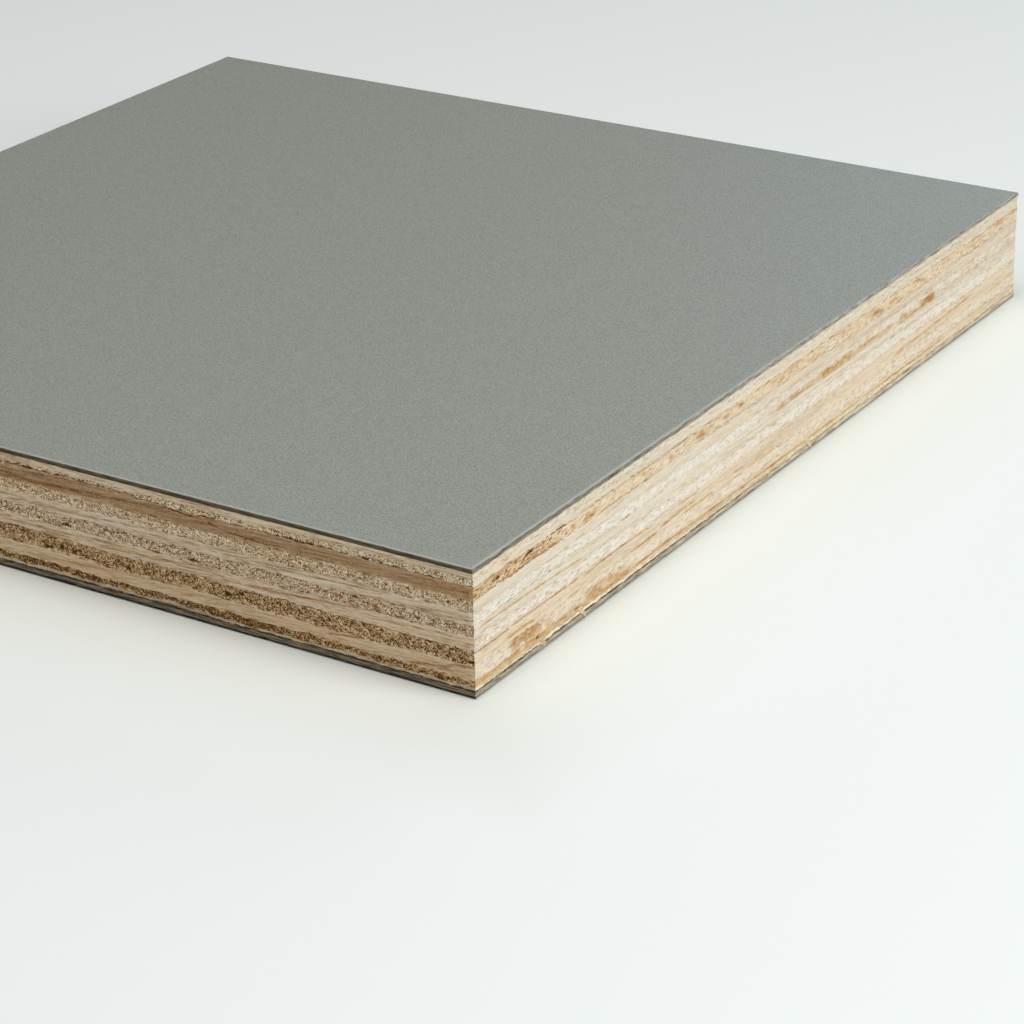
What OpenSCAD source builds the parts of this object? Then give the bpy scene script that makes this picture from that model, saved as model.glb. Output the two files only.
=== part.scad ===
// Laminated plywood sheet: eleven cross-banded veneers pressed into one panel,
// with a hard laminate glued to each face and all four edges sawn flush.
// Millimetres, +Z up, origin at the middle of the underside.
// The face grain runs along X, so the odd veneers show long grain on the front and back edges.

/* [Sheet] */
// Size of the sheet along X, with the face grain
sheet_along_grain = 178; // [60:1:2440]
// Size of the sheet along Y, across the face grain
sheet_across_grain = 181; // [60:1:1220]

/* [Laminates] */
// Thickness of the laminate on the upper face
top_laminate_t = 0.7; // [0.5:0.05:1.5]
// Thickness of the laminate on the lower face
bottom_laminate_t = 1.4; // [0.6:0.05:2]
// Width and height of the filed edge round the upper face
top_arris = 0.15; // [0.05:0.05:0.4]
// Width and height of the filed edge round the lower face
bottom_arris = 0.3; // [0.05:0.05:0.5]

/* [Veneers from the top down] */
// Thickness of the face veneer, grain along X
face_veneer_t = 0.9; // [0.3:0.1:3]
// Thickness of the second veneer, grain along Y
veneer_2_t = 1.1; // [0.3:0.1:3]
// Thickness of the third veneer, grain along X
veneer_3_t = 2.2; // [0.3:0.1:3]
// Thickness of the fourth veneer, grain along Y
veneer_4_t = 1.9; // [0.3:0.1:3]
// Thickness of the fifth veneer, grain along X
veneer_5_t = 1.7; // [0.3:0.1:3]
// Thickness of the sixth veneer, grain along Y
veneer_6_t = 2.1; // [0.3:0.1:3]
// Thickness of the seventh veneer, grain along X
veneer_7_t = 2; // [0.3:0.1:3]
// Thickness of the eighth veneer, grain along Y
veneer_8_t = 2.5; // [0.3:0.1:3]
// Thickness of the ninth veneer, grain along X
veneer_9_t = 2; // [0.3:0.1:3]
// Thickness of the tenth veneer, grain along Y
veneer_10_t = 1.2; // [0.3:0.1:3]
// Thickness of the back veneer, grain along X
back_veneer_t = 0.4; // [0.3:0.1:3]

/* [Tear-out in the ninth veneer] */
// Length of the torn hollow along the right-hand edge
tear_length = 9; // [4:0.5:18]
// Depth of the torn hollow at its middle
tear_depth = 0.6; // [0.2:0.1:1.5]
// Distance from the front corner to the middle of the hollow
tear_from_corner = 13.5; // [10:0.5:45]

/* [Hidden] */
NODES = [
    "bottom_laminate", "back_veneer", "veneer_10", "veneer_9", "veneer_8", "veneer_7", "veneer_6",
    "veneer_5", "veneer_4", "veneer_3", "veneer_2", "face_veneer", "top_laminate"
];

// The stack from the floor up, in the order of NODES
layer_t = [
    bottom_laminate_t, back_veneer_t, veneer_10_t, veneer_9_t, veneer_8_t, veneer_7_t, veneer_6_t,
    veneer_5_t, veneer_4_t, veneer_3_t, veneer_2_t, face_veneer_t, top_laminate_t
];

// Place of a named layer in the stack
function layer_index(name) = search([name], NODES)[0];

// Height of the underside of the layer at this place in the stack
function underside(index) = index == 0 ? 0 : underside(index - 1) + layer_t[index - 1];

// Radius of the circle whose chord is as long, and as deep, as the torn hollow
tear_r = (pow(tear_length / 2, 2) + pow(tear_depth, 2)) / (2 * tear_depth);
// How far the cutter runs past each side of the veneer, so that no skin is left
cut_past = 0.1;

// Lifts a layer that was drawn on the floor to its place in the stack
module in_stack(name) {
    translate([0, 0, underside(layer_index(name))]) children();
}

// One veneer, peeled to an even thickness and sawn square
module veneer(name) {
    in_stack(name)
        translate([-sheet_along_grain / 2, -sheet_across_grain / 2, 0])
            cube([sheet_along_grain, sheet_across_grain, layer_t[layer_index(name)]]);
}

// Section through a laminate: square where it is glued, filed at its outer face
module laminate_section(span, thickness, arris) {
    half = span / 2;
    polygon([
        [-half, 0], [half, 0], [half, thickness - arris],
        [half - arris, thickness], [-half + arris, thickness], [-half, thickness - arris]
    ]);
}

// One laminate with its outer face up, the same section along both pairs of edges
module laminate_sheet(thickness, arris) {
    intersection() {
        rotate([90, 0, 0])
            linear_extrude(height = sheet_across_grain, center = true)
                laminate_section(sheet_along_grain, thickness, arris);
        rotate([90, 0, 90])
            linear_extrude(height = sheet_along_grain, center = true)
                laminate_section(sheet_across_grain, thickness, arris);
    }
}

module top_laminate() {
    color("#8f968f") in_stack("top_laminate") laminate_sheet(top_laminate_t, top_arris);
}

module face_veneer() { color("#dccbaa") veneer("face_veneer"); }
module veneer_2() { color("#d2bf9a") veneer("veneer_2"); }
module veneer_3() { color("#b98d69") veneer("veneer_3"); }
module veneer_4() { color("#d8c7a3") veneer("veneer_4"); }
module veneer_5() { color("#e0d2b6") veneer("veneer_5"); }
module veneer_6() { color("#d6c4a0") veneer("veneer_6"); }
module veneer_7() { color("#ddccae") veneer("veneer_7"); }
module veneer_8() { color("#c4a377") veneer("veneer_8"); }

// The ninth veneer, with the shallow hollow that the saw tore from its right-hand edge
module veneer_9() {
    color("#d9c39b")
        difference() {
            veneer("veneer_9");
            translate([
                sheet_along_grain / 2 + tear_r - tear_depth,
                -sheet_across_grain / 2 + tear_from_corner,
                underside(layer_index("veneer_9")) - cut_past
            ])
                cylinder(r = tear_r, h = veneer_9_t + 2 * cut_past, $fn = 96);
        }
}

module veneer_10() { color("#c79c62") veneer("veneer_10"); }
module back_veneer() { color("#e2d3b5") veneer("back_veneer"); }

module bottom_laminate() {
    color("#6f6a60")
        in_stack("bottom_laminate")
            translate([0, 0, bottom_laminate_t])
                mirror([0, 0, 1])
                    laminate_sheet(bottom_laminate_t, bottom_arris);
}

bottom_laminate();
back_veneer();
veneer_10();
veneer_9();
veneer_8();
veneer_7();
veneer_6();
veneer_5();
veneer_4();
veneer_3();
veneer_2();
face_veneer();
top_laminate();
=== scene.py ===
# Laminated plywood sheet: eleven crossed veneers between two hard laminates, sawn square.
# Meshes are drawn in millimetres in the frame of the solids and scaled to metres when they are done.
import math

import bmesh
import bpy
from mathutils import Matrix, Vector, noise


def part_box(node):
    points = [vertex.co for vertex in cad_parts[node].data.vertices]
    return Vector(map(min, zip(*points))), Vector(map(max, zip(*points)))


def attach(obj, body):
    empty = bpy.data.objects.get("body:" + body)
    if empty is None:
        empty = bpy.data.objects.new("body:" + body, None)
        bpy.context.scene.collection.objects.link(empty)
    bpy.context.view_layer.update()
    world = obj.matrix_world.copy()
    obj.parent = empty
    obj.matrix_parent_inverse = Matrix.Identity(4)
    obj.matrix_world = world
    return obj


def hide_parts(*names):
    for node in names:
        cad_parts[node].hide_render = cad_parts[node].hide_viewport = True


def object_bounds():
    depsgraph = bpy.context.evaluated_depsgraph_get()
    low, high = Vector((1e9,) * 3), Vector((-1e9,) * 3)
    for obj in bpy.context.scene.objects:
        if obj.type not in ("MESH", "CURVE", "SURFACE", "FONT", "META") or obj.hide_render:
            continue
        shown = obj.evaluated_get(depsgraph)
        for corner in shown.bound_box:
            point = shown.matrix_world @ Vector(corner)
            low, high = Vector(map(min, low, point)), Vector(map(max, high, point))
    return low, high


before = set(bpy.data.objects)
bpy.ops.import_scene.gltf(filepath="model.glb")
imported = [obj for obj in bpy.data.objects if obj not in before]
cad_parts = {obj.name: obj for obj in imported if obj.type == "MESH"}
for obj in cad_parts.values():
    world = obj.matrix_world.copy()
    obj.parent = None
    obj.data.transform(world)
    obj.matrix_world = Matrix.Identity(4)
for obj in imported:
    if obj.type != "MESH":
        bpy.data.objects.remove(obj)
cad_low, cad_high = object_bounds()


# The core is eleven rotary-peeled veneers, laid with their grain crossed and pressed in hot glue.
# The saw tore the fibre ends of the crossed veneers into crumbs, and combed the long fibres of
# the others, so each edge is carved cell by cell. Pale, red-brown and tan logs were mixed.
MM = 0.001
HALF_X = cad_high.x / MM
HALF_Y = cad_high.y / MM
AROUND = 4 * (HALF_X + HALF_Y)
CELL = 0.17
LEAST_ROWS = 4


def layer_heights(node):
    """Heights of a layer's underside and upper side, in millimetres from the floor."""
    low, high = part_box(node)
    return low.z / MM, high.z / MM


def sawn_sheet(node, open_face=None):
    """A layer as a sheet in millimetres, its four sawn edges divided into small cells."""
    low, high = layer_heights(node)
    thickness = high - low
    rows = max(LEAST_ROWS, round(thickness / CELL))
    sheet = bmesh.new()
    bmesh.ops.create_grid(sheet, x_segments=1, y_segments=1, size=1)
    bmesh.ops.delete(sheet, geom=sheet.faces[:], context="FACES_ONLY")
    bmesh.ops.scale(sheet, verts=sheet.verts[:], vec=(HALF_X, HALF_Y, 1))
    bmesh.ops.translate(sheet, verts=sheet.verts[:], vec=(0, 0, low))
    for edge in sheet.edges[:]:
        cells = round(edge.calc_length() / CELL)
        bmesh.ops.subdivide_edges(sheet, edges=[edge], cuts=cells - 1)
    lowest = sheet.edges[:]
    highest = lowest
    for _ in range(rows):
        grown = bmesh.ops.extrude_edge_only(sheet, edges=highest)["geom"]
        highest = [part for part in grown if isinstance(part, bmesh.types.BMEdge)]
        raised = [part for part in grown if isinstance(part, bmesh.types.BMVert)]
        bmesh.ops.translate(sheet, verts=raised, vec=(0, 0, thickness / rows))
    for face, rim in (("down", lowest), ("up", highest)):
        if face != open_face:
            bmesh.ops.edgeloop_fill(sheet, edges=rim)
    bmesh.ops.recalc_face_normals(sheet, faces=sheet.faces[:])
    return sheet


SIDES = ("left", "right")


def edge_gaps(x, y):
    """How far a point lies from each of the four sawn edges."""
    return {"front": abs(y + HALF_Y), "right": abs(x - HALF_X),
            "back": abs(y - HALF_Y), "left": abs(x + HALF_X)}


def edges_at(x, y):
    """The sawn edges that a point of the outline lies on, each with the distance from its near end."""
    return [(edge, HALF_Y + y if edge in SIDES else HALF_X - x)
            for edge, gap in edge_gaps(x, y).items() if gap < CELL / 4]


def push_in(vert, edge, depth):
    """Moves a point of a sawn edge this far into the sheet."""
    if edge in SIDES:
        vert.co.x = math.copysign(HALF_X - depth, vert.co.x)
    else:
        vert.co.y = math.copysign(HALF_Y - depth, vert.co.y)


# The glue lines wander up and down in waves of these lengths, but hardly at all against a laminate
LAMINATE_LINES = (layer_heights("back_veneer")[0], layer_heights("face_veneer")[1])
LONG_WAVE = 16.0
SHORT_WAVE = 3.5
RAGGED_WAVE = 0.7
FREE_SWING = 0.28
LAMINATE_SWING = 0.03
# The line over the third, red-brown veneer rides up where that veneer was thicker
RAISED_LINE = layer_heights("veneer_3")[1]
RAISED_BY = 0.35
RAISED_FROM, RAISED_FULL = 58.0, 61.0
LOWERED_FROM, LOWERED_FULL = 91.0, 95.0


def between(value, low, high):
    """0 below low, 1 above high and a smooth rise between them."""
    share = min(1.0, max(0.0, (value - low) / (high - low)))
    return share * share * (3 - 2 * share)


def glue_line(height, x, y):
    """Height of a glue line where it comes out of the edge."""
    if height < LAMINATE_LINES[0] - CELL or height > LAMINATE_LINES[1] + CELL:
        return height
    flat = min(abs(height - line) for line in LAMINATE_LINES) < CELL
    swing = LAMINATE_SWING if flat else FREE_SWING
    wander = noise.noise((x / LONG_WAVE, y / LONG_WAVE, 3.7 * height))
    ripple = noise.noise((x / SHORT_WAVE, y / SHORT_WAVE, 5.3 * height))
    ragged = noise.noise((x / RAGGED_WAVE, y / RAGGED_WAVE, 7.9 * height))
    line = height + swing * (wander + 0.9 * ripple + 0.8 * ragged)
    if abs(height - RAISED_LINE) < CELL and y < 0:
        from_corner = HALF_X - x
        lowered = between(from_corner, LOWERED_FROM, LOWERED_FULL)
        line += RAISED_BY * between(from_corner, RAISED_FROM, RAISED_FULL) * (1 - lowered)
    return line


def followed(path, distance, height, half_width):
    """How strongly a streak covers a point: 1 on its path, 0 past its sides and its tapered ends."""
    (first, _), (last, _) = path[0], path[-1]
    if distance <= first or distance >= last:
        return 0.0
    for (start, start_z), (end, end_z) in zip(path, path[1:]):
        if distance <= end:
            middle = start_z + (end_z - start_z) * (distance - start) / (end - start)
            break
    fade = min(0.4 * (last - first), 5 * half_width + 0.5)
    taper = between(min(distance - first, last - distance), 0.0, fade)
    side = half_width * (0.6 + 0.5 * taper)
    return taper * (1 - between(abs(height - middle), 0.4 * half_width, side))


# Marks on the front and right-hand edges, by veneer: amber resin, rust-brown fibres, open gaps, cut in and
# painted dark with shade, and torn grain. Each has its kind, its edge, half its width, its strength, and
# its path as distances from the near corner and heights from the
MARKS = {
    "back_veneer": [
        ("amber", "right", 1.2, 0.25, [(45, 1.6), (100, 1.6), (190, 1.6)]),
    ],
    "veneer_2": [
        ("gap", "front", 0.12, 0.45, [(14.5, 17.5), (17.5, 17.6), (20.5, 17.7)]),
        ("gap", "front", 0.17, 0.7, [(23, 17.5), (28, 17.42), (33, 17.52)]),
        ("gap", "front", 0.15, 0.6, [(54, 17.5), (58, 17.45), (62, 17.5), (65, 17.85), (70, 17.8)]),
        ("gap", "front", 0.16, 0.45, [(69, 17.75), (72, 17.95), (75, 17.7), (79, 17.95), (95, 17.8)]),
        ("amber", "right", 0.25, 0.9, [(6.5, 18.4), (10, 18.2)]),
        ("amber", "right", 0.3, 0.5, [(1, 18.8), (4.5, 18.3)]),
        ("amber", "right", 0.2, 0.5, [(15, 18.6), (19, 18.3)]),
    ],
    "veneer_3": [
        ("gap", "front", 0.1, 0.8, [(34, 15.45), (38, 15.75), (41, 15.9), (45.5, 16.35)]),
        ("gap", "front", 0.25, 1.0, [(44.5, 16.5), (46, 16.6)]),
        ("gap", "front", 0.16, 1.2, [(47.5, 16.9), (50, 17.0), (53.5, 17.35)]),
        ("rust", "front", 0.12, 0.8, [(4.5, 16.1), (6.5, 16.8), (9, 17.15), (12.5, 17.35)]),
        ("rust", "front", 0.3, 0.7, [(72, 15.7), (80, 15.95)]),
        ("amber", "front", 1.3, 0.35, [(-3, 16.3), (7, 16.3)]),
        ("torn", "right", 1.9, 1.0, [(-9, 16.3), (26, 16.4)]),
        ("amber", "right", 1.6, 0.6, [(-6, 16.2), (26, 16.5)]),
        ("gap", "right", 0.3, 1.0, [(13.2, 16.5), (14.4, 16.6), (16.1, 16.9)]),
        ("gap", "right", 0.25, 0.8, [(5.7, 16.1), (7.2, 16.3)]),
        ("gap", "right", 0.2, 0.6, [(0.6, 16.6), (2.2, 16.3)]),
        ("rust", "right", 0.16, 1.2, [(-1, 15.2), (8, 15.1), (12, 15.35), (23, 15.25)]),
        ("amber", "right", 0.5, 0.9, [(25.4, 16.2), (27.4, 15.8)]),
        ("amber", "right", 0.5, 1.0, [(27.8, 15.6), (31, 15.8), (34.2, 16.2)]),
        ("rust", "right", 0.12, 0.8, [(33, 15.25), (42, 15.2), (51, 15.25)]),
        ("amber", "right", 0.2, 0.9, [(43, 17.2), (51, 17.2)]),
        ("amber", "right", 0.4, 0.7, [(45, 16.8), (48.5, 16.2)]),
        ("amber", "right", 0.5, 0.7, [(53, 16.7), (57, 15.7)]),
        ("amber", "right", 0.9, 0.9, [(60.5, 16.6), (69.5, 16.2)]),
        ("rust", "right", 0.4, 0.5, [(62, 16.5), (66, 16.1)]),
        ("amber", "right", 0.6, 0.8, [(70.6, 16.3), (73.6, 16.5)]),
        ("amber", "right", 0.5, 0.9, [(74, 17.2), (78.5, 16.3)]),
        ("rust", "right", 0.3, 0.7, [(75.5, 16.8), (78, 16.5)]),
        ("amber", "right", 0.9, 0.55, [(85, 16.2), (99, 16.8)]),
        ("amber", "right", 0.5, 0.7, [(97, 16.4), (107, 15.4)]),
        ("amber", "right", 0.6, 0.4, [(107, 16.9), (118, 16.3)]),
        ("amber", "right", 0.9, 0.8, [(119, 16.6), (128, 15.8)]),
        ("rust", "right", 0.4, 0.6, [(121, 16.3), (126, 15.9)]),
        ("amber", "right", 0.6, 0.8, [(127.5, 16.2), (133, 16.0)]),
        ("amber", "right", 0.5, 0.9, [(137, 17.2), (144, 15.6)]),
        ("amber", "right", 0.9, 0.5, [(157, 16.8), (168, 16.2)]),
        ("amber", "right", 0.7, 0.7, [(169.5, 16.9), (176.5, 16.8)]),
        ("rust", "right", 0.6, 0.5, [(176.5, 17.0), (184, 17.2)]),
    ],
    "veneer_4": [
        ("amber", "right", 0.18, 0.8, [(26, 13.65), (30.5, 13.75)]),
        ("amber", "right", 1.2, 0.1, [(90, 14.0), (184, 14.0)]),
    ],
    "veneer_5": [
        ("gap", "front", 0.12, 0.8, [(32.5, 12.5), (36.5, 12.5)]),
        ("rust", "right", 0.13, 0.8, [(38.5, 11.5), (43.5, 11.5)]),
        ("amber", "right", 0.65, 0.9, [(87, 11.6), (96, 11.8), (105, 11.6)]),
        ("amber", "right", 0.95, 1.2, [(100.5, 11.7), (110, 11.9), (119, 11.7)]),
        ("amber", "right", 0.7, 0.85, [(113, 11.8), (124, 11.8), (135, 11.6)]),
        ("amber", "right", 0.8, 1.2, [(130.5, 11.6), (139.5, 11.6)]),
        ("amber", "right", 1.1, 1.2, [(138.5, 11.6), (143, 11.7), (149, 11.9)]),
        ("rust", "right", 0.4, 0.3, [(103, 11.8), (109, 11.9)]),
        ("rust", "right", 0.4, 0.25, [(110.5, 11.6), (116, 11.8)]),
        ("rust", "right", 0.6, 0.7, [(140.5, 11.7), (148, 12.0)]),
        ("amber", "right", 1.8, 0.26, [(78, 12.2), (105, 12.3), (186, 12.3)]),
    ],
    "veneer_6": [
        ("amber", "right", 0.16, 1.4, [(1, 10.75), (10, 10.7), (17, 10.5), (23, 10.3), (29, 10.1)]),
        ("amber", "right", 0.5, 0.9, [(87, 11.3), (96, 11.5), (105, 11.4)]),
        ("rust", "right", 0.25, 0.6, [(93.5, 11.5), (98, 11.5)]),
        ("amber", "right", 0.6, 1.0, [(102, 11.4), (119, 11.4)]),
        ("amber", "right", 0.45, 0.7, [(114, 11.4), (134, 11.4)]),
        ("amber", "right", 0.6, 1.0, [(131, 11.4), (149, 11.3)]),
        ("rust", "right", 0.3, 0.7, [(140, 11.3), (147, 11.4)]),
        ("amber", "right", 0.7, 0.3, [(118, 11.3), (186, 11.2)]),
        ("amber", "front", 0.7, 0.3, [(61, 11.0), (68, 11.0)]),
        ("rust", "front", 0.35, 1.3, [(15.9, 10.4), (17.3, 10.6)]),
        ("rust", "front", 0.25, 1.3, [(15.4, 9.8), (17.4, 9.85)]),
        ("rust", "front", 0.3, 1.2, [(22.3, 10.6), (23.9, 10.5)]),
        ("rust", "front", 0.2, 1.3, [(11.5, 9.7), (14, 9.75)]),
        ("rust", "front", 0.3, 1.0, [(6.4, 10.1), (7.8, 10.0)]),
        ("rust", "front", 0.3, 0.8, [(8.8, 10.4), (10.4, 10.5)]),
        ("gap", "front", 0.2, 0.8, [(47, 9.75), (48.5, 9.85), (51, 9.75)]),
        ("gap", "front", 0.25, 0.8, [(71.5, 9.9), (74, 10.1)]),
    ],
    "veneer_7": [
        ("rust", "front", 0.16, 1.5, [(19, 9.45), (26, 8.95), (33, 8.5), (35, 8.35), (40, 8.2)]),
        ("rust", "front", 0.13, 1.0, [(42.5, 8.6), (46, 8.75), (52.5, 8.35)]),
        ("rust", "front", 0.13, 0.9, [(44.5, 9.3), (51.5, 9.25)]),
        ("rust", "front", 0.5, 0.35, [(70.5, 8.3), (78.5, 8.0)]),
        ("gap", "front", 0.09, 0.6, [(71.5, 8.05), (78, 8.0)]),
        ("rust", "right", 0.9, 0.35, [(-3, 8.9), (4, 8.8)]),
        ("rust", "right", 0.25, 0.7, [(0.5, 9.3), (2.2, 9.1)]),
        ("amber", "right", 0.3, 0.6, [(27, 8.6), (29.2, 8.5)]),
        ("amber", "right", 0.14, 0.9, [(44.5, 9.35), (48.5, 9.3)]),
        ("amber", "right", 0.14, 0.9, [(86, 9.3), (89.5, 9.2)]),
    ],
    "veneer_8": [
        ("gap", "front", 0.34, 1.7, [(42.0, 5.9), (43.5, 5.95)]),
        ("gap", "front", 0.25, 1.5, [(39.6, 6.45), (40.8, 6.5)]),
        ("gap", "front", 0.35, 0.8, [(73.1, 6.0), (74.3, 6.1)]),
        ("gap", "front", 0.3, 0.7, [(70.9, 5.7), (72.1, 5.8)]),
        ("gap", "front", 0.25, 0.7, [(75.4, 5.5), (77.6, 5.5)]),
        ("gap", "front", 0.25, 0.7, [(60.4, 5.5), (61.8, 5.6)]),
        ("gap", "front", 0.3, 0.8, [(-2, 5.4), (1.4, 5.5)]),
        ("gap", "right", 0.3, 0.8, [(-2, 5.6), (0.8, 5.5)]),
        ("rust", "right", 0.14, 1.3, [(-1, 7.3), (4, 7.25), (9.5, 7.3)]),
        ("rust", "right", 0.13, 1.1, [(9, 7.4), (13, 7.45), (18, 7.4), (28, 7.35)]),
        ("amber", "right", 0.2, 1.2, [(28.5, 7.0), (33, 7.2), (38, 7.35)]),
        ("rust", "right", 0.12, 0.9, [(33.5, 7.3), (42, 7.4)]),
        ("amber", "right", 0.16, 1.1, [(37.5, 7.4), (48.5, 7.2)]),
        ("amber", "right", 0.18, 1.1, [(57, 7.35), (63.5, 7.2)]),
        ("amber", "right", 0.3, 1.1, [(7, 6.0), (12, 6.1), (16.5, 5.7)]),
        ("amber", "right", 0.2, 0.8, [(24, 5.3), (28.5, 5.4)]),
        ("amber", "right", 0.2, 1.3, [(41.5, 5.15), (47, 5.3), (51.5, 5.4)]),
        ("rust", "right", 0.14, 0.7, [(44, 5.25), (50.5, 5.4)]),
        ("amber", "right", 0.25, 1.0, [(51, 5.8), (58, 6.1), (63, 6.0)]),
        ("amber", "right", 0.2, 1.1, [(58, 5.3), (68.5, 5.3)]),
        ("amber", "right", 0.25, 0.9, [(73.5, 5.9), (79, 5.9)]),
        ("amber", "right", 0.3, 0.9, [(81, 5.5), (85.5, 5.5)]),
        ("amber", "right", 0.35, 0.8, [(130, 5.7), (145, 6.2), (164, 6.7)]),
    ],
    "veneer_9": [
        ("rust", "front", 0.18, 1.4, [(-2, 5.15), (3.4, 4.65), (5, 4.0), (8, 3.6), (11.5, 3.05)]),
        ("rust", "front", 0.15, 1.2, [(3.2, 4.65), (4.8, 3.85), (6.8, 3.05)]),
        ("amber", "front", 0.22, 1.2, [(15, 5.2), (20, 4.7), (26, 3.9)]),
        ("rust", "front", 0.14, 1.0, [(18, 4.9), (20, 4.7), (25.5, 4.0)]),
        ("rust", "front", 0.12, 0.9, [(42, 4.15), (46, 3.85)]),
        ("rust", "front", 0.12, 0.9, [(48.6, 4.05), (52, 3.65)]),
        ("rust", "front", 0.13, 0.9, [(66.5, 4.3), (73.5, 3.8)]),
        ("amber", "front", 1.6, 0.14, [(20, 4.0), (60, 4.0), (185, 4.0)]),
        ("amber", "right", 0.9, 0.6, [(17.5, 4.2), (21, 3.4)]),
        ("amber", "right", 1.2, 0.8, [(26, 3.9), (36, 3.3), (45, 3.2)]),
    ],
    "veneer_10": [
        ("gap", "front", 1.4, 0.12, [(26, 2.4), (60, 2.4), (185, 2.4)]),
        ("amber", "right", 0.75, 0.95, [(-4, 2.5), (9, 2.5), (16.5, 2.5), (30, 2.5), (45, 2.4)]),
        ("amber", "right", 0.3, 1.0, [(36, 2.4), (55, 2.5), (70, 2.5), (81, 2.3)]),
        ("amber", "right", 0.2, 1.1, [(78, 2.4), (90, 2.3), (110, 2.3)]),
        ("amber", "right", 0.18, 1.0, [(108, 2.3), (125, 2.35), (152, 2.3)]),
        ("rust", "right", 0.2, 0.8, [(4.5, 2.95), (9.5, 2.8)]),
        ("gap", "right", 0.35, 0.8, [(15.7, 2.7), (17.0, 2.5)]),
        ("rust", "right", 0.25, 0.9, [(25.8, 2.8), (28.3, 2.5)]),
        ("rust", "right", 0.2, 0.8, [(36, 2.4), (38, 2.2)]),
        ("rust", "right", 0.16, 0.7, [(44, 2.55), (48, 2.5)]),
        ("rust", "right", 0.16, 0.7, [(51, 2.6), (59, 2.6)]),
        ("rust", "right", 0.15, 0.7, [(66, 2.5), (71, 2.5)]),
        ("rust", "right", 0.16, 0.9, [(84, 2.3), (92, 2.3)]),
        ("rust", "right", 0.16, 0.7, [(104, 2.3), (109, 2.3)]),
        ("rust", "right", 0.16, 0.9, [(128, 2.4), (133, 2.4)]),
        ("rust", "right", 0.16, 0.7, [(136, 2.3), (140, 2.2)]),
    ],
}

# A mark wavers up and down by up to this much, less where half its width is under the second value, and
# resin or rust that is broader than the third breaks into beads
MARK_WOBBLE = 0.16
FULL_WOBBLE_FROM = 0.3
BEADS_FROM = 0.22


def marks_at(node, edge, distance, x, y, z):
    """How strongly each kind of mark covers a point of an edge."""
    wobble = MARK_WOBBLE * noise.noise((x / 0.8, y / 0.8, z / 0.4))
    bead = min(1.0, 0.85 + 0.8 * noise.noise((x / 1.3, y / 1.3, z / 0.9)))
    marks = {"gap": 0.0, "torn": 0.0, "amber": 0.0, "rust": 0.0}
    for kind, side, half_width, strength, path in MARKS.get(node, ()):
        if side == edge:
            shaken = z + wobble * min(1.0, half_width / FULL_WOBBLE_FROM)
            cover = strength * followed(path, distance, shaken, half_width)
            if kind in ("amber", "rust") and half_width > BEADS_FROM:
                cover *= bead
            marks[kind] = max(marks[kind], cover)
    return marks


# The hollow that the saw tore from the ninth veneer, as deep as in its solid but rough inside
HOLLOW_MIDDLE = 13.5
HOLLOW_HALF = 4.3
HOLLOW_DEPTH = 0.6
HOLLOW_RAGGED = 1.6
HOLLOW_AMBER = 0.9
HOLLOW_RUST = 0.28


def hollow_depth(distance, height, low, high):
    """Depth of the torn hollow at a point of the ninth veneer's right-hand edge."""
    ragged = HOLLOW_RAGGED * noise.noise((distance / 2.2, height / 0.8, 4.0))
    across = abs(distance + ragged - HOLLOW_MIDDLE) / HOLLOW_HALF
    bowl = max(0.0, 1 - across * across)
    upright = between(height, low - 0.1, low + 0.5) * (1 - between(height, high - 0.25, high + 0.05))
    crumbs = 0.75 + 0.5 * noise.noise((distance / 0.5, height / 0.4, 9.0))
    return HOLLOW_DEPTH * math.sqrt(bowl) * upright * crumbs


def torn_ends(x, y, z):
    """Relief of sawn end grain, from 0 for proud crumbs to 1 for the gaps between them."""
    bundles = noise.noise((x / 0.72, y / 0.72, z / 0.5))
    fibres = noise.noise((x / 0.5 + 31, y / 0.5, z / 0.4))
    patches = noise.noise((x / 4, y / 4, z / 1.2 + 7))
    return min(1.0, max(0.0, 0.42 + 0.85 * bundles + 0.6 * fibres + 0.3 * patches))


def combed_fibres(along, across, height):
    """Relief of sawn long grain: fine ridges that run with the grain, and a few lifted slivers."""
    ridges = noise.noise((along / 5, across / 0.3, height / 0.24))
    slivers = noise.noise((along / 9, across / 0.5 + 13, height / 0.45))
    return 0.3 + 0.5 * ridges + 1.6 * max(0.0, slivers - 0.28)


# Grain direction and its slope in degrees, then how deep the saw tore the fibre ends, how open it left
# them, which sets how much painted shade lies in their gaps, and how deep it combed the long fibres
GRAIN_X, GRAIN_Y = "x", "y"
VENEERS = {
    "back_veneer": (GRAIN_X, -1, 0.10, 0.30, 0.06),
    "veneer_10": (GRAIN_Y, -1, 0.26, 1.15, 0.08),
    "veneer_9": (GRAIN_X, -3, 0.12, 0.25, 0.07),
    "veneer_8": (GRAIN_Y, -1, 0.32, 1.1, 0.08),
    "veneer_7": (GRAIN_X, -2, 0.14, 0.30, 0.07),
    "veneer_6": (GRAIN_Y, 1, 0.30, 0.90, 0.08),
    "veneer_5": (GRAIN_X, -3, 0.12, 0.20, 0.07),
    "veneer_4": (GRAIN_Y, -1, 0.30, 0.80, 0.08),
    "veneer_3": (GRAIN_X, -3, 0.14, 0.30, 0.09),
    "veneer_2": (GRAIN_Y, 1, 0.26, 0.80, 0.08),
    "face_veneer": (GRAIN_X, -1, 0.12, 0.25, 0.06),
}
# Painted shade in the open long grain: more on the veneers that run with X, whose long grain shows on the
# front edge in half shade
LONG_GRAIN_OPEN = {GRAIN_X: 0.45, GRAIN_Y: 0.15}
GLUE_GROOVE = 0.06
GAP_DEPTH = 0.16
TORN_DEPTH = 0.12
TORN_OPEN = 0.75
MOST_OPEN = 2.6
CORNER_DEPTH = 0.04
CORNER_WEAR = 0.2
CORNER_REACH = 0.9
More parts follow.
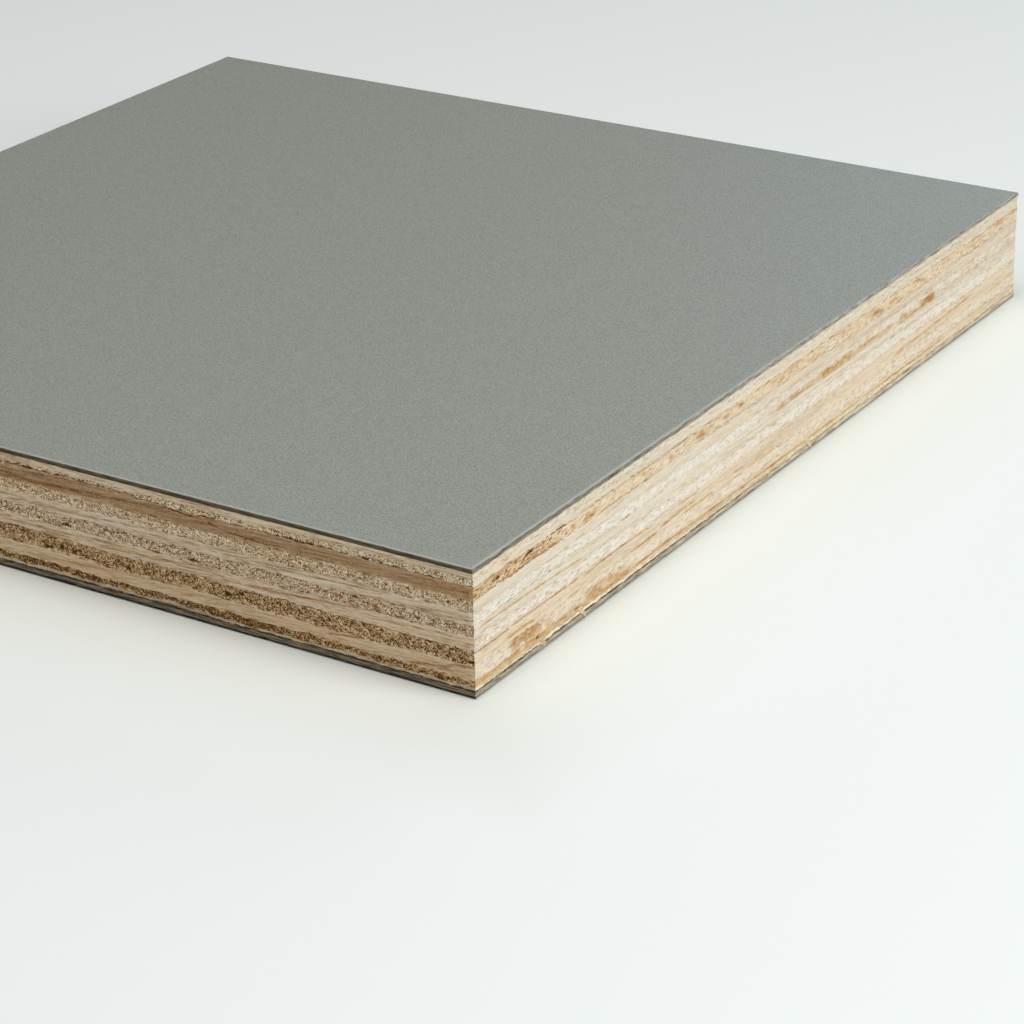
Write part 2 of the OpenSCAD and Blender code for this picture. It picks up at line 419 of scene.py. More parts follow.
# The thin back veneer broke into a fringe that hangs a little over the laminate below it
FRINGE = 0.28
FRINGE_TUCK = 0.25
FRINGE_COMB = 0.03
FRINGE_FOOT = 0.01
FRINGE_DASHES = 0.15


def fringe_drop(x, y):
    """How far the fringe hangs down at a point of the outline."""
    tufts = noise.noise((x / 1.3, y / 1.3, 2.0))
    hairs = noise.noise((x / 0.45, y / 0.45, 5.0))
    return FRINGE * max(0.0, 0.35 + 0.9 * tufts + 0.6 * hairs)


def corner_wear(x, y, z):
    """How much of a veneer's edge has crumbled away near one of the sheet's upright corners."""
    to_corner = max(HALF_X - abs(x), HALF_Y - abs(y))
    crumbled = max(0.0, 0.75 + 0.7 * noise.noise((x / 40, y / 40, z / 2.2)))
    return CORNER_WEAR * crumbled * (1 - between(to_corner, 0.0, CORNER_REACH))


# A glue line shows as broken dashes this wide, and glue is smeared over this much of a veneer beside it.
# The smear closes the open grain, hides the fibre ends, and looks a little like them on long grain.
LINE_WIDTH = 0.16
SMEAR_SHARE = 0.2
SMEAR_MOST = 0.5
SMEAR_CLOSES = 0.6
SMEAR_HIDES = 0.65
SMEAR_LIKE_ENDS = 0.45


def glue_at(x, y, z, to_line, thickness):
    """How dark a glue line's dashes are at a point, and how much glue is smeared on the grain."""
    broken = max(0.0, 0.2 + 1.4 * noise.noise((x / 1.5, y / 1.5, 2 * z)))
    dashes = broken * (1 - between(to_line, 0.0, LINE_WIDTH))
    smear_reach = min(SMEAR_MOST, SMEAR_SHARE * thickness)
    patches = between(noise.noise((x / 1.2, y / 1.2, 3 * z)), -0.15, 0.25)
    return dashes, patches * (1 - between(to_line, 0.05, 0.1 + smear_reach))


# On the two side edges the saw ran cleaner and cleaner between these distances from their near ends
CLEAN_FROM, CLEAN_FULL = 15, 70
# What such a clean cut takes from the open grain, the glue grooves, the torn ends, and the dark of the
# glue lines, which the side edges show less than the others
CLEAN_GRAIN = 0.8
CLEAN_GROOVES = 0.8
CLEAN_TEARS = 0.6
CLEAN_DASHES = 0.3
SIDE_DASHES = 0.35


def carve_veneer(node, sheet):
    """Cuts a veneer's edges into grain and stores what its colour depends on at each point."""
    grain, _, torn, openness, combed = VENEERS[node]
    low, high = layer_heights(node)
    fringed = node == "back_veneer"
    stores = {name: sheet.verts.layers.float.new(name) for name in ("ends", "hollow", "amber", "rust")}
    for vert in sheet.verts:
        x, y, z = vert.co
        bottom = glue_line(low, x, y)
        top = glue_line(high, x, y)
        share = (z - low) / (high - low)
        tucked = fringed and share < FRINGE_FOOT
        z = bottom + (top - bottom) * share
        if fringed and not tucked:
            z -= fringe_drop(x, y) * (1 - share)
        vert.co.z = z
        dashes, smeared = glue_at(x, y, z, min(z - bottom, top - z), high - low)
        edges = edges_at(x, y)
        for edge, distance in edges:
            across_grain = (edge in SIDES) == (grain == GRAIN_X)
            clean = between(distance, CLEAN_FROM, CLEAN_FULL) if edge in SIDES else 0.0
            live = openness * (1 - SMEAR_CLOSES * smeared) if across_grain else LONG_GRAIN_OPEN[grain]
            live *= 1 - CLEAN_GRAIN * clean
            marks = marks_at(node, edge, distance, x, y, z)
            live += (TORN_OPEN - live) * marks["torn"]
            if across_grain:
                relief = torn_ends(x, y, z)
                depth = (torn * (1 - CLEAN_TEARS * clean) + TORN_DEPTH * marks["torn"]) * relief
            else:
                relief = combed_fibres(x, y, z) if grain == GRAIN_X else combed_fibres(y, x, z)
                depth = combed * relief
            depth += GLUE_GROOVE * (1 - CLEAN_GROOVES * clean) * dashes + GAP_DEPTH * marks["gap"]
            shown = SIDE_DASHES - CLEAN_DASHES * clean if edge in SIDES else 1.0
            if fringed:
                shown *= FRINGE_DASHES
            # How dark the gaps are painted: painted shade, deeper where the relief is deeper and the grain
            # more open, with the real dark of the glue lines
            hollow = (0.5 * relief + 0.75) * live + shown * dashes + 2 * marks["gap"]
            if node == "veneer_9" and edge == "right":
                torn_out = hollow_depth(distance, z, bottom, top)
                depth += torn_out
                fibrous = 0.85 + 0.6 * noise.noise((distance / 1.1, z / 0.35, 1.0))
                marks["amber"] = max(marks["amber"], HOLLOW_AMBER * fibrous * min(1.0, 5 * torn_out))
                marks["rust"] = max(marks["rust"], HOLLOW_RUST * fibrous * min(1.0, 3 * torn_out))
            if fringed:
                depth = FRINGE_TUCK if tucked else FRINGE_COMB * relief
            if len(edges) > 1:
                depth = min(depth, CORNER_DEPTH)
            push_in(vert, edge, depth + corner_wear(x, y, z))
            ends = 1 - SMEAR_HIDES * smeared if across_grain else SMEAR_LIKE_ENDS * smeared
            vert[stores["ends"]] = ends
            vert[stores["hollow"]] = min(MOST_OPEN, hollow)
            vert[stores["amber"]] = min(1.0, marks["amber"])
            vert[stores["rust"]] = min(1.0, marks["rust"])


def way_round(x, y):
    """Distance round the sheet from its near corner to a point of its outline."""
    gaps = edge_gaps(x, y)
    edge = min(gaps, key=gaps.get)
    if edge == "right":
        return HALF_Y + y
    if edge == "back":
        return 2 * HALF_Y + HALF_X - x
    if edge == "left":
        return 2 * HALF_Y + 2 * HALF_X + HALF_Y - y
    return 4 * HALF_Y + 2 * HALF_X + HALF_X + x


# A layer's edge is cut into strips that lie one above the other on the layer's own map: how many, how
# much of the map's width they take, the height given to one, and where it starts and what it fills of that
VENEER_STRIPS = (16, 0.98, 1 / 17, 1.05, 0.85)
MARGIN = 0.01
# Side of a glued face on the map, small because it is never seen
HIDDEN = 0.04


def unroll(face, layer, low, high, strips):
    """Lays a face of a carved edge on the strip of the map that it belongs to."""
    count, across, band, foot, filled = strips
    middle = face.calc_center_median()
    start = way_round(middle.x, middle.y)
    strip = min(count - 1, int(count * start / AROUND))
    for loop in face.loops:
        x, y, z = loop.vert.co
        way = way_round(x, y)
        if way - start > AROUND / 2:
            way -= AROUND
        if start - way > AROUND / 2:
            way += AROUND
        loop[layer].uv = (MARGIN + across * (count * way / AROUND - strip),
                          band * (strip + foot + filled * (z - low) / (high - low)))


def lay_flat(face, layer, left, foot, size):
    """Lays a broad face of a sheet on the map as a square."""
    for loop in face.loops:
        x, y, _ = loop.vert.co
        loop[layer].uv = (left + size * (0.5 + x / HALF_X / 2), foot + size * (0.5 + y / HALF_Y / 2))


def reach_of(sheet):
    """Heights of a sheet's lowest and highest points."""
    heights = [vert.co.z for vert in sheet.verts]
    return min(heights), max(heights)


def place_veneer_bake(sheet):
    """Gives a veneer's carved edge most of its own map, with its two glued faces small."""
    layer = sheet.loops.layers.uv.new("OFBake")
    low, high = reach_of(sheet)
    for face in sheet.faces:
        if len(face.verts) > 4:
            lower = face.calc_center_median().z < (low + high) / 2
            lay_flat(face, layer, MARGIN if lower else MARGIN + 2 * HIDDEN, MARGIN / 2, HIDDEN)
        else:
            unroll(face, layer, low, high, VENEER_STRIPS)


def dressed(name, sheet, materials, sharp):
    """Turns a mesh that was drawn in millimetres into an object of the scene."""
    bmesh.ops.scale(sheet, verts=sheet.verts[:], vec=(MM, MM, MM))
    mesh = bpy.data.meshes.new(name)
    sheet.to_mesh(mesh)
    sheet.free()
    mesh.shade_smooth()
    mesh.set_sharp_from_angle(angle=sharp)
    for material in materials:
        mesh.materials.append(material)
    piece = bpy.data.objects.new(name, mesh)
    bpy.context.scene.collection.objects.link(piece)
    return piece


LEVEL = 0.98


def finished_layer(node, sheet, materials, sharp):
    """The piece that stands for a layer's solid, with its level faces shaded flat."""
    piece = dressed(node + "_look", sheet, materials, sharp)
    for polygon in piece.data.polygons:
        if abs(polygon.normal.z) > LEVEL:
            polygon.use_smooth = False
    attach(piece, "root")
    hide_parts(node)


class Wire:
    """A socket of a material. Arithmetic on it adds Math nodes."""

    def __init__(self, finish, socket):
        self.finish = finish
        self.socket = socket

    def math(self, operation, *values):
        return self.finish.add("Math", {"operation": operation}, dict(enumerate(values)))

    def __add__(self, other):
        return self.math("ADD", self, other)

    def __radd__(self, other):
        return self.math("ADD", other, self)

    def __sub__(self, other):
        return self.math("SUBTRACT", self, other)

    def __rsub__(self, other):
        return self.math("SUBTRACT", other, self)

    def __mul__(self, other):
        return self.math("MULTIPLY", self, other)

    def __rmul__(self, other):
        return self.math("MULTIPLY", other, self)


class Finish:
    """A material that is put together node by node."""

    def __init__(self, name):
        self.material = bpy.data.materials.new(name)
        self.material.use_nodes = True
        self.tree = self.material.node_tree
        self.shader = self.tree.nodes["Principled BSDF"]

    def set(self, socket, value):
        if isinstance(value, Wire):
            self.tree.links.new(value.socket, socket)
        else:
            socket.default_value = value

    def add(self, kind, settings, inputs, output=0):
        node = self.tree.nodes.new("ShaderNode" + kind)
        for name, value in settings.items():
            setattr(node, name, value)
        for socket, value in inputs.items():
            self.set(node.inputs[socket], value)
        return Wire(self, node.outputs[output])

    def surface(self, **sockets):
        for name, value in sockets.items():
            self.set(self.shader.inputs[name.replace("_", " ").title()], value)

    def grain(self, sizes, detail=2.0, turn=(0, 0, 0), roughness=0.55):
        """Noise whose features have these sizes in millimetres, before they are turned."""
        place = self.add("TexCoord", {}, {}, "Object")
        metres = tuple(MM * size for size in sizes)
        scaled = self.add("Mapping", {"vector_type": "TEXTURE"},
                          {"Vector": place, "Rotation": turn, "Scale": metres})
        return self.add("TexNoise", {}, {"Vector": scaled, "Scale": 1.0, "Detail": detail,
                                         "Roughness": roughness})

    def place(self, axis):
        """One coordinate of a point, in metres from the middle of the underside."""
        point = self.add("TexCoord", {}, {}, "Object")
        return self.add("SeparateXYZ", {}, {"Vector": point}, axis)

    def rise(self, value, low, high, to_low=0.0, to_high=1.0):
        return self.add("MapRange", {"interpolation_type": "SMOOTHSTEP"},
                        {"Value": value, "From Min": low, "From Max": high,
                         "To Min": to_low, "To Max": to_high})

    def blend(self, share, first, second, kind="MIX"):
        return self.add("Mix", {"data_type": "RGBA", "blend_type": kind},
                        {0: share, 6: first, 7: second}, 2)

    def stored(self, name):
        return self.add("Attribute", {"attribute_name": name}, {}, "Fac")


def paint(red, green, blue):
    """A colour as it is seen on a screen, 0 to 255, as a linear colour."""
    linear = [(part / 255 + 0.055) ** 2.4 / 1.055 ** 2.4 for part in (red, green, blue)]
    return (*linear, 1.0)


AMBER = paint(205, 166, 99)
AMBER_DEEP = paint(170, 123, 64)
RUST = paint(158, 106, 58)
# Painted shade in the deepest crevices between the fibres
CREVICE_SHADE = paint(72, 42, 18)
# Heartwood drifts through the veneers in long patches
WARM_DRIFT = (0.98, 0.935, 0.875, 1.0)
# A wood's deep tone loses blue before red
DEEP_PULL = (0.8, 1.0, 1.2)
BRIGHTEST = 0.92


def tones(red, green, blue, spread):
    """The pale tone of a wood and the deep tone of its fibres, which lie this far apart."""
    middle = paint(red, green, blue)[:3]
    pale = [min(BRIGHTEST, part * (1 + 0.42 * spread)) for part in middle]
    deep = [part * (1 - 0.9 * spread * pull) for part, pull in zip(middle, DEEP_PULL)]
    return (*pale, 1.0), (*deep, 1.0)


# Share of loose fibre ends in the nap on the sawn long grain, most on the soft red-brown wood
NAP = {"veneer_3": 0.45}
LEAST_NAP = 0.12
# Sizes of what shows in the wood: with the grain, across it and upright for fibres and their bands, and
# along X, Y and Z for the crumbs of the end grain and the drift of heartwood
FIBRES = (2.4, 0.2, 0.13)
BANDS = (30, 2.0, 0.55)
CRUMBS = {GRAIN_X: (0.3, 1.4, 0.15), GRAIN_Y: (0.25, 0.25, 0.18)}
CRUMB_TURN = (0.2, 0.2, 0)
DRIFT = (11, 11, 1.4)
WOOD_SPECULAR = 0.25


def veneer_finish(node, long_tones, end_tones, gap_shade_tone):
    """Raw sawn wood whose fibres run with the veneer's grain all through it."""
    grain, slope = VENEERS[node][:2]
    turn = (0, math.radians(slope), 0) if grain == GRAIN_X else (math.radians(-slope), 0, 0)
    fibre_sizes, band_sizes = (
        (along, across, up) if grain == GRAIN_X else (across, along, up)
        for along, across, up in (FIBRES, BANDS)
    )
    finish = Finish(node + "_wood")
    fibres = finish.grain(fibre_sizes, 4.0, turn, 0.7)
    bands = finish.grain(band_sizes, 2.0, turn)
    crumbs = finish.grain(CRUMBS[grain], 3.0, CRUMB_TURN, 0.65)
    ends = finish.stored("ends")
    loose = ends.math("MAXIMUM", ends, NAP.get(node, LEAST_NAP))
    fine = loose * crumbs + (1 - loose) * fibres
    tone = finish.rise(0.72 * fine + 0.28 * bands, 0.43, 0.64)
    colour = finish.blend(ends, finish.blend(tone, *long_tones), finish.blend(tone, *end_tones))
    drift = finish.grain(DRIFT)
    colour = finish.blend(finish.rise(drift, 0.4, 0.66), colour, WARM_DRIFT, "MULTIPLY")
    resin = finish.blend(tone, AMBER, AMBER_DEEP)
    amber = finish.stored("amber") * finish.rise(fine, 0.36, 0.6, 0.7, 1.0)
    rust = finish.stored("rust") * finish.rise(fine, 0.36, 0.6, 0.65, 1.0)
    colour = finish.blend(rust, finish.blend(amber, colour, resin), RUST)
    # The gaps between the fibres are painted darker, partly their own tone and partly painted shade, and
    # the deepest near black with painted shade
    open_and_shaded = 0.42 * finish.stored("hollow") + 2.6 * fine + 0.15 * ends - 1.52
    colour = finish.blend(finish.rise(open_and_shaded, 0.24, 0.46), colour, gap_shade_tone)
    colour = finish.blend(finish.rise(open_and_shaded, 0.7, 1.0), colour, CREVICE_SHADE)
    bump = finish.add("Bump", {}, {"Height": 0.6 * fibres + 0.4 * crumbs, "Strength": 0.7,
                                   "Distance": 0.1 * MM})
    finish.surface(base_color=colour, roughness=0.7 + 0.25 * fibres, normal=bump)
    finish.shader.inputs["Specular IOR Level"].default_value = WOOD_SPECULAR
    return finish.material


# Tones of each veneer's long grain and of its end grain, and the tone of the gaps between its fibres,
# partly their own and partly painted shade
WOODS = {
    "back_veneer": (tones(176, 170, 149, 0.7), tones(244, 233, 211, 0.3), paint(158, 118, 76)),
    "veneer_10": (tones(221, 210, 186, 0.35), tones(200, 173, 128, 0.7), paint(92, 60, 18)),
    "veneer_9": (tones(204, 192, 166, 0.55), tones(226, 219, 201, 0.28), paint(176, 128, 80)),
    "veneer_8": (tones(222, 212, 189, 0.3), tones(206, 184, 147, 0.72), paint(99, 67, 28)),
    "veneer_7": (tones(205, 195, 172, 0.75), tones(229, 227, 215, 0.26), paint(176, 134, 96)),
    "veneer_6": (tones(220, 216, 200, 0.3), tones(213, 203, 180, 0.85), paint(114, 80, 46)),
    "veneer_5": (tones(206, 200, 181, 0.75), tones(229, 229, 218, 0.24), paint(182, 146, 108)),
    "veneer_4": (tones(219, 213, 195, 0.28), tones(215, 205, 180, 0.85), paint(122, 89, 52)),
    "veneer_3": (tones(164, 142, 114, 0.9), tones(224, 211, 184, 0.32), paint(138, 94, 48)),
    "veneer_2": (tones(219, 214, 196, 0.28), tones(220, 211, 187, 0.85), paint(122, 89, 52)),
    "face_veneer": (tones(208, 201, 180, 0.65), tones(221, 215, 197, 0.28), paint(180, 138, 92)),
}
WOOD_SHARP = math.radians(60)

for node, (long_tones, end_tones, gap_shade_tone) in WOODS.items():
    sheet = sawn_sheet(node)
    carve_veneer(node, sheet)
    place_veneer_bake(sheet)
    wood = veneer_finish(node, long_tones, end_tones, gap_shade_tone)
    finished_layer(node, sheet, [wood], WOOD_SHARP)


# The saw left three slivers of the tenth veneer hanging by their roots over the laminate on the
# right-hand edge. Each is a thin tapered strip of fibres that lies against the edge.
SLIVER_THICK = 0.09
SLIVER_CUTS = 9
SLIVER_TAPER = 0.72
SLIVER_THINNING = 0.5
SLIVER_CURL = 0.1
SLIVER_RIPPLE = 0.08
SLIVER_FRAY = 0.9
SLIVER_STRANDS = 0.9
# The first sliver, nearest to the torn hollow, took up more of the amber resin
FIRST_SLIVER_TO = 20
FIRST_STAIN = 0.5
OTHER_STAIN = 0.12
# Distance from the near corner at the root and at the tip, heights of root and tip, width at the root
SLIVERS = [(16.8, 18.1, 2.45, 0.95, 2.3), (27.8, 29.4, 2.4, 0.35, 1.8), (99.2, 100.6, 2.4, 0.6, 1.4)]

slivers = bmesh.new()
for root, tip, root_z, tip_z, width in SLIVERS:
    earlier = len(slivers.verts)
    started = bmesh.ops.create_cube(slivers, size=1)["verts"]
    sides = {edge for vert in started for edge in vert.link_edges
             if abs(edge.verts[0].co.x - edge.verts[1].co.x) < 0.5}
    bmesh.ops.subdivide_edges(slivers, edges=list(sides), cuts=SLIVER_CUTS, use_grid_fill=True)
    made = slivers.verts[:][earlier:]
    for vert in made:
        down = 0.5 - vert.co.z
        narrow = (1 - SLIVER_TAPER * down) * (0.85 + 0.6 * noise.noise((2.5 * down, root, 4.0)))
        thick = SLIVER_THICK * (1 - SLIVER_THINNING * down)
        curl = SLIVER_CURL * down * down
        middle = root + (tip - root) * down - HALF_Y
        frayed = SLIVER_FRAY * noise.noise((3 * vert.co.y, 2.6 * down, root))
        ripple = SLIVER_RIPPLE * noise.noise((6 * vert.co.y, 1.5 * down, tip))
        strand = SLIVER_STRANDS * down * noise.noise((5 * vert.co.y, 0.0, tip))
        vert.co = (HALF_X + curl + ripple + thick * vert.co.x,
                   middle + width * narrow * vert.co.y + frayed * abs(vert.co.y),
                   root_z + (tip_z - root_z) * down + strand)
bmesh.ops.recalc_face_normals(slivers, faces=slivers.faces[:])
stained = slivers.verts.layers.float.new("amber")
for vert in slivers.verts:
    vert[stained] = FIRST_STAIN if vert.co.y < FIRST_SLIVER_TO - HALF_Y else OTHER_STAIN
sliver_piece = dressed("torn_slivers", slivers, [bpy.data.materials["veneer_10_wood"]], WOOD_SHARP)
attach(sliver_piece, "root")


# Each face of the core carries a hard laminate, kraft paper soaked in resin under a grey decor
# skin with a fine suede grain, glued on and filed to a small arris where it was trimmed flush.
TOP_ARRIS = 0.15
BOTTOM_ARRIS = 0.3
EDGE_SLACK = 0.04
EDGE_ROUGH = 0.02
NICK = 0.3
# The papers of the two side edges are paler, partly bruised by the saw and partly painted sheen where the
# right-hand edge faces the light, least at their near ends and more and more between these distances from
# there
LEAST_BRUISE_AND_SHEEN = 0.43
BRUISE_AND_SHEEN_FROM, BRUISE_AND_SHEEN_FULL = 5, 130
FACE_BORDER = 2.0
FACE_CELLS = 44
FACE_UP = 0.9


def cover_face(sheet, rim, height):
    """Closes a laminate's outer face with a grid of broad cells, joined to the cells of its edge."""
    cells = bmesh.ops.create_grid(sheet, x_segments=FACE_CELLS, y_segments=FACE_CELLS, size=1)["verts"]
    bmesh.ops.scale(sheet, verts=cells, vec=(HALF_X - FACE_BORDER, HALF_Y - FACE_BORDER, 1))
    bmesh.ops.translate(sheet, verts=cells, vec=(0, 0, height))
    border = {edge for vert in cells for edge in vert.link_edges if edge.is_boundary}
    bmesh.ops.bridge_loops(sheet, edges=list(border) + rim)
    bmesh.ops.recalc_face_normals(sheet, faces=sheet.faces[:])


def carve_laminate(node, sheet, arris, faces_up):
    """Files the laminate's outer arris, nicks it here and there and roughens its sawn edge."""
    low, high = layer_heights(node)
    skin = sheet.verts.layers.float.new("skin")
    bruise_and_sheen = sheet.verts.layers.float.new("bruise_and_sheen")
    for vert in sheet.verts:
        x, y, z = vert.co
        from_face = high - z if faces_up else z - low
        depth = EDGE_SLACK + EDGE_ROUGH * noise.noise((x / 3, y / 3, z / 0.12))
        nick = between(noise.noise((x / 0.9, y / 0.9, 17.0)), 0.38, 0.6)
        ease = arris * (1 + NICK * nick)
        if from_face < ease:
            depth += ease - from_face
        for edge, distance in edges_at(x, y):
            push_in(vert, edge, depth)
            if edge in SIDES:
                more = between(distance, BRUISE_AND_SHEEN_FROM, BRUISE_AND_SHEEN_FULL)
                vert[bruise_and_sheen] = LEAST_BRUISE_AND_SHEEN + (1 - LEAST_BRUISE_AND_SHEEN) * more
        vert[skin] = from_face


# The laminate's map: the strips of its edge, then the left, the foot and the size of the outer face and
# of the glued face
LAMINATE_STRIPS = (4, 0.97, 0.03, 0.2, 0.8)
OUTER_FACE = (MARGIN, 0.15, 0.84)
GLUED_FACE = (0.9, 0.5, HIDDEN)


def place_laminate_bake(sheet, faces_up):
    """Gives the laminate's outer face most of its own map, and its edges and glued face the rest."""
    layer = sheet.loops.layers.uv.new("OFBake")
    low, high = reach_of(sheet)
    for face in sheet.faces:
        if abs(face.normal.z) > FACE_UP:
            shown = (face.calc_center_median().z > (low + high) / 2) == faces_up
            lay_flat(face, layer, *(OUTER_FACE if shown else GLUED_FACE))
        else:
            unroll(face, layer, low, high, LAMINATE_STRIPS)


DECOR = paint(162, 167, 159)
DECOR_DARK = paint(128, 134, 127)
# A dark glue line, deepened with painted shadow where the fringe hangs over it
GLUE_AND_SHADOW = paint(46, 36, 24)
# Painted highlight: the skin is painted paler along the filed arris where the light catches it, for this
# far in from the right-hand edge, less far at the front, and less and less towards the back
ARRIS_HIGHLIGHT = paint(184, 188, 179)
ARRIS_HIGHLIGHT_REACH = 0.9
ARRIS_HIGHLIGHT_LESS = 0.15
ARRIS_HIGHLIGHT_FADE = 0.6
SUEDE = (0.24, 0.24, 0.24)


def decor_finish(name):
    """The suede-grained decor skin of a laminate, with a painted highlight along its arris."""
    finish = Finish(name)
    suede = finish.grain(SUEDE, roughness=0.65)
    colour = finish.blend(finish.rise(suede, 0.34, 0.66), DECOR, DECOR_DARK)
    from_right = cad_high.x - finish.place("X")
    from_front = cad_high.y + finish.place("Y")
    faded = finish.rise(from_front, 0.5 * cad_high.y, 2 * cad_high.y, 0.0, ARRIS_HIGHLIGHT_FADE * MM)
    inset = from_right.math("MINIMUM", from_right + faded, from_front + ARRIS_HIGHLIGHT_LESS * MM)
    arris_highlight = finish.rise(inset, ARRIS_HIGHLIGHT_REACH * MM, 0.2 * ARRIS_HIGHLIGHT_REACH * MM)
    colour = finish.blend(arris_highlight, colour, ARRIS_HIGHLIGHT)
    bump = finish.add("Bump", {}, {"Height": suede, "Strength": 0.6, "Distance": 0.1 * MM})
    finish.surface(base_color=colour, roughness=0.44 + 0.16 * suede, normal=bump)
    return finish.material


PAPERS = (3.2, 3.2, 0.12)
PAPER_PATCHES = (1.4, 1.4, 0.3)
PAPER_SPECULAR = 0.06


def kraft_finish(name, skin_and_shadow_reach, pale, dark, bruise_and_sheen_tone, skin):
    """The sawn edge of a laminate: level lines of resin-soaked paper, a dark glue line deepened with
    painted shade under the fringe, side edges paled partly by painted sheen, and the skin, painted as a
    near-black shadow on the lower laminate.
    """
    finish = Finish(name)
    papers = finish.grain(PAPERS, 3.0, roughness=0.7)
    patches = finish.grain(PAPER_PATCHES)
    from_face = finish.stored("skin")
    bruise_and_sheen = finish.stored("bruise_and_sheen")
    # Paler papers on the side edges: partly bruising, partly painted sheen
    bruise_and_sheen_share = bruise_and_sheen * finish.rise(from_face, 0.3, 0.8, 0.4, 1.0)
    colour = finish.blend(finish.rise(papers, 0.4, 0.6), finish.blend(bruise_and_sheen_share, pale, bruise_and_sheen_tone), dark)
    colour = finish.blend(bruise_and_sheen_share * finish.rise(papers, 0.64, 0.4, 0.3, 0.75), colour, bruise_and_sheen_tone)
    # Partly dark glue and partly painted shadow under the overhanging fringe, weaker on the side edges
    glue_and_shadow = finish.rise(from_face + 0.7 * patches, 1.4, 1.6, 0.0, 0.85)
    colour = finish.blend(glue_and_shadow * finish.rise(bruise_and_sheen, 0.6, 1.0, 1.0, 0.3), colour, GLUE_AND_SHADOW)
    reached = finish.rise(from_face, skin_and_shadow_reach, 0.5 * skin_and_shadow_reach)
    # The skin's colour on the upper laminate's arris, and on the lower laminate a painted shadow along the
    # foot of the edge
    skin_and_shadow = reached * finish.rise(patches, 0.4, 0.55, 0.6, 1.0)
    colour = finish.blend(skin_and_shadow * finish.rise(bruise_and_sheen, 0.0, 0.5, 1.0, 0.35), colour, skin)
    finish.surface(base_color=colour, roughness=0.6 + 0.2 * papers)
    finish.shader.inputs["Specular IOR Level"].default_value = PAPER_SPECULAR
    return finish.material


decor = decor_finish("laminate_decor")
# How far the skin's colour reaches down the edge, then the pale and the dark tone of the papers, their
# paler tone on the two side edges, partly bruised by the saw and partly painted sheen, and the tone of the
# skin, which on the lower laminate is a near-black painted shadow
UPPER_KRAFT = (0.1, paint(110, 103, 87), paint(66, 60, 48), paint(212, 209, 197), paint(168, 172, 163))
# Painted shadow: the lower laminate's skin tone is near black, for the shade where its edge meets the
# floor
LOWER_KRAFT = (0.6, paint(152, 146, 129), paint(80, 75, 63), paint(230, 218, 190), paint(22, 20, 16))
LAMINATE_SHARP = math.radians(30)
for node, arris, faces_up, papers in (("bottom_laminate", BOTTOM_ARRIS, False, LOWER_KRAFT),
                                      ("top_laminate", TOP_ARRIS, True, UPPER_KRAFT)):
    sheet = sawn_sheet(node, "up" if faces_up else "down")
    low, high = layer_heights(node)
    height = high if faces_up else low
    cover_face(sheet, [edge for edge in sheet.edges if edge.is_boundary], height)
    carve_laminate(node, sheet, arris, faces_up)
    place_laminate_bake(sheet, faces_up)
    for face in sheet.faces:
        face.material_index = 0 if abs(face.normal.z) > FACE_UP else 1
    kraft = kraft_finish(node + "_edge", *papers)
    finished_layer(node, sheet, [decor, kraft], LAMINATE_SHARP)


# The sheet lies on a plain pale floor. A large soft panel to its right lights the one edge, a ceiling
# panel and one behind light the upper face, and a weak one leaves the front edge in half shade.
FLOOR_HALF = 3.0
floor_mesh = bpy.data.meshes.new("floor")
ground = bmesh.new()
bmesh.ops.create_grid(ground, x_segments=1, y_segments=1, size=FLOOR_HALF)
ground.to_mesh(floor_mesh)
ground.free()
floor = bpy.data.objects.new("floor", floor_mesh)
bpy.context.scene.collection.objects.link(floor)
floor_finish = Finish("pale_floor")
looked_at = floor_finish.add("LightPath", {}, {}, "Is Camera Ray")
mirrored = floor_finish.add("LightPath", {}, {}, "Is Glossy Ray")
seen_through = floor_finish.add("LightPath", {}, {}, "Is Transmission Ray")
FLOOR_SEEN = paint(237, 243, 242)
FLOOR_PAINTED_SHADE = paint(228, 234, 228)
FLOOR_BOUNCE = paint(218, 206, 192)
# Painted shade: the floor is painted darker and creamier for this far round the sheet, for the sheet's
# shade and the warm light its wood throws back
PAINTED_SHADE_REACH = 0.032
floor_x = floor_finish.place("X")
floor_y = floor_finish.place("Y")
from_sheet = floor_x.math("MAXIMUM", floor_x.math("ABSOLUTE", floor_x) - cad_high.x,
                          floor_y.math("ABSOLUTE", floor_y) - cad_high.y)
floor_seen = floor_finish.blend(floor_finish.rise(from_sheet, 0.0, PAINTED_SHADE_REACH), FLOOR_PAINTED_SHADE, FLOOR_SEEN)
floor_colour = floor_finish.blend(looked_at + mirrored + seen_through, FLOOR_BOUNCE, floor_seen)
floor_finish.surface(base_color=floor_colour, roughness=0.8)
floor_finish.shader.inputs["Specular IOR Level"].default_value = 0.0
floor_mesh.materials.append(floor_finish.material)

SHEET_MIDDLE = Vector((0, 0, cad_high.z / 2))


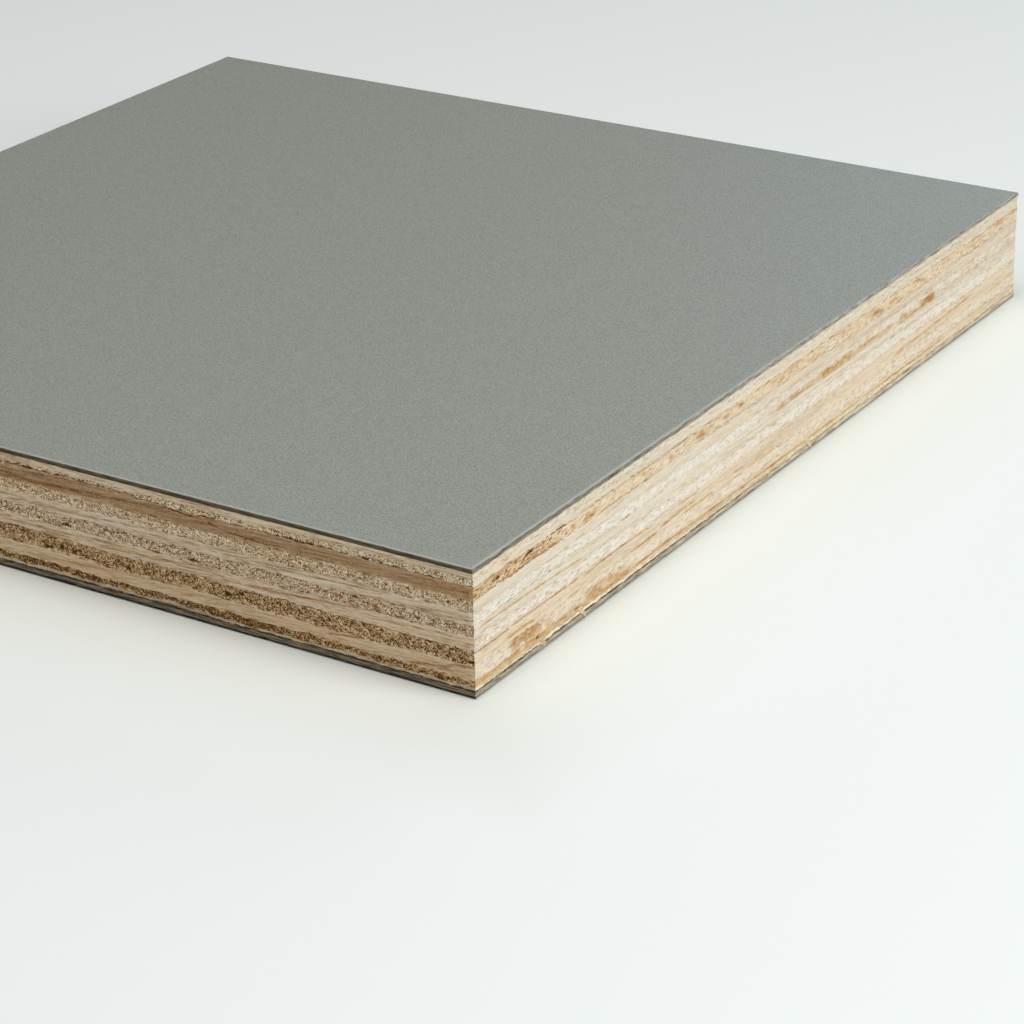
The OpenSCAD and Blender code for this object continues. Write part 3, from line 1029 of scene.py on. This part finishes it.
def soft_lamp(name, place, size, power, colour):
    """A square panel of light that faces the sheet."""
    light = bpy.data.lights.new(name, "AREA")
    light.shape = "SQUARE"
    light.size = size
    light.energy = power
    light.color = colour
    lamp = bpy.data.objects.new(name, light)
    lamp.location = place
    lamp.rotation_euler = (SHEET_MIDDLE - Vector(place)).to_track_quat("-Z", "Y").to_euler()
    bpy.context.scene.collection.objects.link(lamp)


soft_lamp("window_panel", place=(0.85, -0.09, 0.55), size=0.7, power=7.0, colour=(0.96, 1.0, 1.05))
soft_lamp("ceiling_panel", place=(0.1, -0.15, 1.4), size=0.9, power=10.2, colour=(1.0, 0.93, 0.89))
soft_lamp("front_panel", place=(0.2, -1.1, 0.12), size=0.2, power=1.0, colour=(1.0, 0.97, 0.93))
soft_lamp("back_panel", place=(-0.12, 1.2, 0.43), size=0.5, power=2.2, colour=(0.64, 0.87, 1.1))

SKY_COLOUR = (1.0, 0.94, 0.84, 1)
SKY_STRENGTH = 0.12
world = bpy.data.worlds.new("studio")
bpy.context.scene.world = world
world.use_nodes = True
sky = world.node_tree.nodes["Background"]
sky.inputs["Color"].default_value = SKY_COLOUR
sky.inputs["Strength"].default_value = SKY_STRENGTH

# The camera stands where the sheet's own edges say that it stood.
CAMERA_PLACE = (0.3046, -0.4149, 0.2076)
CAMERA_AZIMUTH = 32.793
CAMERA_ELEVATION = 24.670
CAMERA_ROLL = -1.188
CAMERA_LENS = 111.33
CAMERA_SENSOR = 36
camera_data = bpy.data.cameras.new("camera")
camera_data.sensor_width = CAMERA_SENSOR
camera_data.lens = CAMERA_LENS
camera = bpy.data.objects.new("camera", camera_data)
camera.matrix_world = (
    Matrix.Translation(CAMERA_PLACE)
    @ Matrix.Rotation(math.radians(CAMERA_AZIMUTH), 4, "Z")
    @ Matrix.Rotation(math.radians(90 - CAMERA_ELEVATION), 4, "X")
    @ Matrix.Rotation(math.radians(CAMERA_ROLL), 4, "Z")
)
bpy.context.scene.collection.objects.link(camera)
bpy.context.scene.camera = camera
bpy.context.scene.view_settings.view_transform = "Standard"
